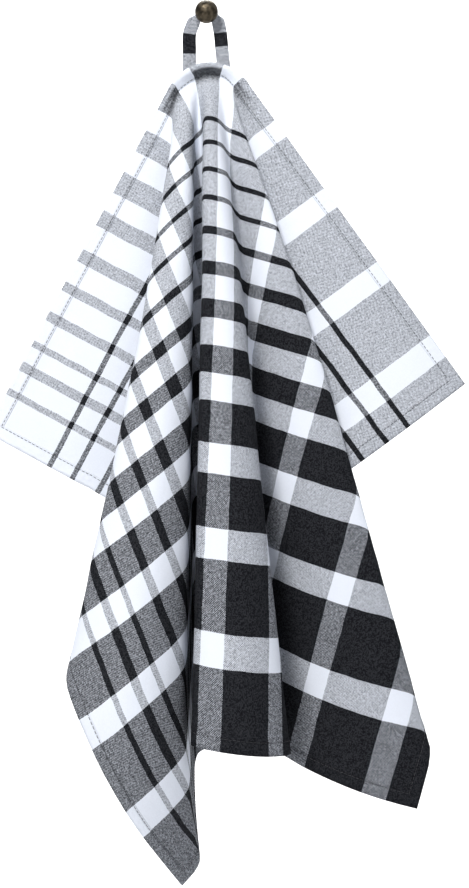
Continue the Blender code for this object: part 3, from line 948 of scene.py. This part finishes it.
# Outline of the folded tape, as shares of its width and thickness
TAPE_RING = (
    (-0.50, 0.0), (-0.48, -0.42), (-0.42, -0.50), (-0.20, -0.46), (0.0, -0.44), (0.20, -0.46),
    (0.42, -0.50), (0.48, -0.42), (0.50, 0.0), (0.48, 0.42), (0.42, 0.50), (0.03, 0.47),
    (0.0, 0.30), (-0.03, 0.47), (-0.42, 0.50), (-0.48, 0.42),
)


def tape_mesh(route, tape):
    """Points, flat places and faces of a folded tape, its joined edges at the back."""
    lengths = route_lengths(route)
    tangents = unit(np.gradient(route, axis=0))
    points, places, faces = [], [], []
    for centre, tangent, length in zip(route, tangents, lengths):
        twist = 0.5 * math.pi * eased((TWIST_STARTS - centre[2]) / (TWIST_STARTS - TWIST_ENDS))
        side = math.copysign(1.0, centre[0])
        width = np.array([math.sin(twist) * side, math.cos(twist), 0.0])
        width = unit(width - tangent * (width @ tangent))
        depth = np.cross(width, tangent)
        for across, through in TAPE_RING:
            ring_point = width * across * tape.tape_width + depth * through * tape.tape_thickness
            points.append(centre + ring_point)
            places.append((across * tape.tape_width, length))
    count = len(TAPE_RING)
    for row in range(len(route) - 1):
        for place in range(count):
            here = row * count + place
            there = row * count + (place + 1) % count
            faces.append((here, here + count, there + count, there))
    faces.append(tuple(range(count)))
    faces.append(tuple(reversed(range(len(points) - count, len(points)))))
    return points, places, faces


# ---- peg ----


def peg_profile(peg):
    """Half outline of the peg, from the middle of its head to the middle of its wall face."""
    head, shank, neck, rim = peg.head_radius, peg.shank_radius, peg.shank_length, peg.rim
    points = []
    for step in range(HEAD_STEPS + 1):
        turn = 0.5 * math.pi * step / HEAD_STEPS
        height = neck + rim + (peg.head_depth - rim) * math.cos(turn)
        points.append((head * math.sin(turn), height))
    points += [(head, neck + 0.5 * rim), (head - 0.25 * rim, neck + 0.1 * rim)]
    points += [(head - 0.5 * rim, neck), (shank * 1.12, neck), (shank, neck - 0.1 * rim)]
    return points + [(shank, 0.0), (0.0, 0.0)]


def turned_mesh(profile, steps):
    """Turn an outline of (radius, distance from the wall) round the peg's middle line."""
    points = [(0.0, -profile[0][1], 0.0)]
    for radius, out in profile[1:-1]:
        for step in range(steps):
            turn = 2.0 * math.pi * step / steps
            points.append((radius * math.cos(turn), -out, radius * math.sin(turn)))
    points.append((0.0, -profile[-1][1], 0.0))
    faces = []
    for step in range(steps):
        after = (step + 1) % steps
        faces.append((0, 1 + step, 1 + after))
        for ring in range(len(profile) - 3):
            first = 1 + ring * steps
            faces.append((first + step, first + steps + step, first + steps + after, first + after))
        last = 1 + (len(profile) - 3) * steps
        faces.append((last + step, len(points) - 1, last + after))
    return points, faces


# ---- operators ----


class TEATOWEL_OT_towel(bpy.types.Operator):
    """Hang the towel in its folds, with its woven bands and hems"""

    bl_idname = "tea_towel.towel"
    bl_label = "Towel"

    def execute(self, context):
        towel = context.scene.tea_towel
        stitches = context.scene.tea_towel_stitches
        across, down = towel_grid(towel)
        middle, back = cloth_surface(Drape(), across, down, towel)
        half = 0.5 * sheet_thickness(across, down, towel)[..., None]
        rows, columns = across.shape
        front_points = (middle - back * half).reshape(-1, 3)
        back_points = (middle + back * half).reshape(-1, 3)
        piece = add_piece(
            "towel_cloth", np.vstack([front_points, back_points]),
            closed_sheet_faces(rows, columns), make_towel_material(towel, stitches),
        )
        flat = np.stack([across.ravel(), down.ravel()], axis=-1)
        set_cloth_places(piece, np.vstack([flat, flat]))
        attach(piece, BODY)
        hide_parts("towel")
        return {"FINISHED"}


class TEATOWEL_OT_stitches(bpy.types.Operator):
    """Sew the stitches of the four hems, on both faces of the cloth"""

    bl_idname = "tea_towel.stitches"
    bl_label = "Hem stitches"

    def execute(self, context):
        towel = context.scene.tea_towel
        stitches = context.scene.tea_towel_stitches
        cloth = bpy.data.objects.get("towel_cloth")
        if cloth is None:
            raise RuntimeError("The towel is made before its stitches")
        points, faces = stitch_mesh(Drape(), towel, stitches)
        piece = add_piece("hem_stitches", points, faces, make_thread_material(stitches))
        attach(piece, BODY)
        return {"FINISHED"}


class TEATOWEL_OT_loop(bpy.types.Operator):
    """Bend the folded tape over the peg and down behind the hem"""

    bl_idname = "tea_towel.loop"
    bl_label = "Hanging loop"

    def execute(self, context):
        towel = context.scene.tea_towel
        tape = context.scene.tea_towel_loop
        peg = context.scene.tea_towel_peg
        route = loop_route(Drape(), tape, peg)
        points, places, faces = tape_mesh(route, tape)
        lengths = route_lengths(route)
        top = int(np.argmax(route[:, 2]))
        dark = [
            tuple(np.interp(LOOP_BAND_LEFT, route[: top + 1, 2], lengths[: top + 1])),
            tuple(np.interp(LOOP_BAND_RIGHT, route[top:, 2][::-1], lengths[top:][::-1])[::-1]),
        ]
        material = make_tape_material(towel, dark, lengths[-1])
        piece = add_piece("loop_tape", points, faces, material)
        set_cloth_places(piece, places)
        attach(piece, BODY)
        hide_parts("hanging_loop")
        return {"FINISHED"}


class TEATOWEL_OT_peg(bpy.types.Operator):
    """Turn the round-headed peg"""

    bl_idname = "tea_towel.peg"
    bl_label = "Peg"

    def execute(self, context):
        peg = context.scene.tea_towel_peg
        points, faces = turned_mesh(peg_profile(peg), PEG_STEPS)
        piece = add_piece("turned_peg", points, faces, make_peg_material(peg))
        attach(piece, BODY)
        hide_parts("peg")
        return {"FINISHED"}


class TEATOWEL_OT_stage(bpy.types.Operator):
    """Set up the floor, the backdrop, the soft light and the camera"""

    bl_idname = "tea_towel.stage"
    bl_label = "Stage"

    def execute(self, context):
        stage = context.scene.tea_towel_stage
        add_stage(stage)
        add_lights(context.scene)
        add_camera(context.scene, stage)
        return {"FINISHED"}


class TEATOWEL_PT_panel(bpy.types.Panel):
    """Buttons for the towel's pieces"""

    bl_label = "Tea Towel"
    bl_idname = "TEATOWEL_PT_panel"
    bl_space_type = "VIEW_3D"
    bl_region_type = "UI"
    bl_category = "Tea Towel"

    def draw(self, context):
        for operator in PIECES:
            self.layout.operator(operator.bl_idname)
        for name in SETTINGS:
            group = getattr(context.scene, name)
            box = self.layout.box()
            for field in group.bl_rna.properties:
                if field.identifier not in ("name", "rna_type"):
                    box.prop(group, field.identifier)


# ---- stage ----


def add_stage(stage):
    """A pale floor that curves up into a pale backdrop."""
    profile = [(FLOOR_FRONT, -stage.floor_drop)]
    for step in range(FLOOR_BEND_STEPS + 1):
        turn = 0.5 * math.pi * step / FLOOR_BEND_STEPS
        profile.append((
            stage.backdrop_gap - FLOOR_BEND + FLOOR_BEND * math.sin(turn),
            -stage.floor_drop + FLOOR_BEND - FLOOR_BEND * math.cos(turn),
        ))
    profile.append((stage.backdrop_gap, BACKDROP_TOP))
    points = [(x, y, z) for y, z in profile for x in (-STAGE_HALF_WIDTH, STAGE_HALF_WIDTH)]
    faces = [(2 * i, 2 * i + 1, 2 * i + 3, 2 * i + 2) for i in range(len(profile) - 1)]
    floor = add_piece("stage_floor", points, faces, make_stage_material(stage.pale))


def add_lights(scene):
    for light in LIGHTS:
        lamp = bpy.data.lights.new(light.name, "AREA")
        lamp.shape = "DISK"
        lamp.size = light.size
        lamp.energy = light.power
        lamp.color = light.colour
        holder = bpy.data.objects.new(light.name, lamp)
        scene.collection.objects.link(holder)
        holder.location = light.place
        facing = Vector(light.target) - Vector(light.place)
        holder.rotation_euler = facing.to_track_quat("-Z", "Y").to_euler()
    world = bpy.data.worlds.new("soft_room")
    world.use_nodes = True
    background = world.node_tree.nodes["Background"]
    background.inputs["Color"].default_value = ROOM_COLOUR
    background.inputs["Strength"].default_value = ROOM_STRENGTH
    scene.world = world
    scene.view_settings.view_transform = "Standard"
    scene.view_settings.look = "None"


def add_camera(scene, stage):
    """The camera looks straight ahead, and its picture is as high as framed_height."""
    lens = bpy.data.cameras.new("camera")
    lens.sensor_fit = "VERTICAL"
    lens.angle_y = 2.0 * math.atan(0.5 * stage.framed_height / stage.camera_distance)
    camera = bpy.data.objects.new("camera", lens)
    scene.collection.objects.link(camera)
    camera.location = (stage.camera_x, -HANG_DEPTH - stage.camera_distance, stage.camera_z)
    camera.rotation_euler = (0.5 * math.pi, 0.0, 0.0)
    scene.camera = camera


# ---- add-on ----


SETTINGS = {
    "tea_towel": TowelSettings,
    "tea_towel_stitches": StitchSettings,
    "tea_towel_loop": LoopSettings,
    "tea_towel_peg": PegSettings,
    "tea_towel_stage": StageSettings,
}
PIECES = (
    TEATOWEL_OT_loop,
    TEATOWEL_OT_peg,
    TEATOWEL_OT_towel,
    TEATOWEL_OT_stitches,
    TEATOWEL_OT_stage,
)


def register():
    for name, group in SETTINGS.items():
        bpy.utils.register_class(group)
        setattr(bpy.types.Scene, name, PointerProperty(type=group))
    for piece in PIECES:
        bpy.utils.register_class(piece)
    bpy.utils.register_class(TEATOWEL_PT_panel)


def unregister():
    bpy.utils.unregister_class(TEATOWEL_PT_panel)
    for piece in reversed(PIECES):
        bpy.utils.unregister_class(piece)
    for name, group in reversed(SETTINGS.items()):
        delattr(bpy.types.Scene, name)
        bpy.utils.unregister_class(group)


def main():
    register()
    bpy.ops.tea_towel.peg()
    bpy.ops.tea_towel.loop()
    bpy.ops.tea_towel.towel()
    bpy.ops.tea_towel.stitches()
    bpy.ops.tea_towel.stage()


if __name__ == "__main__":
    main()
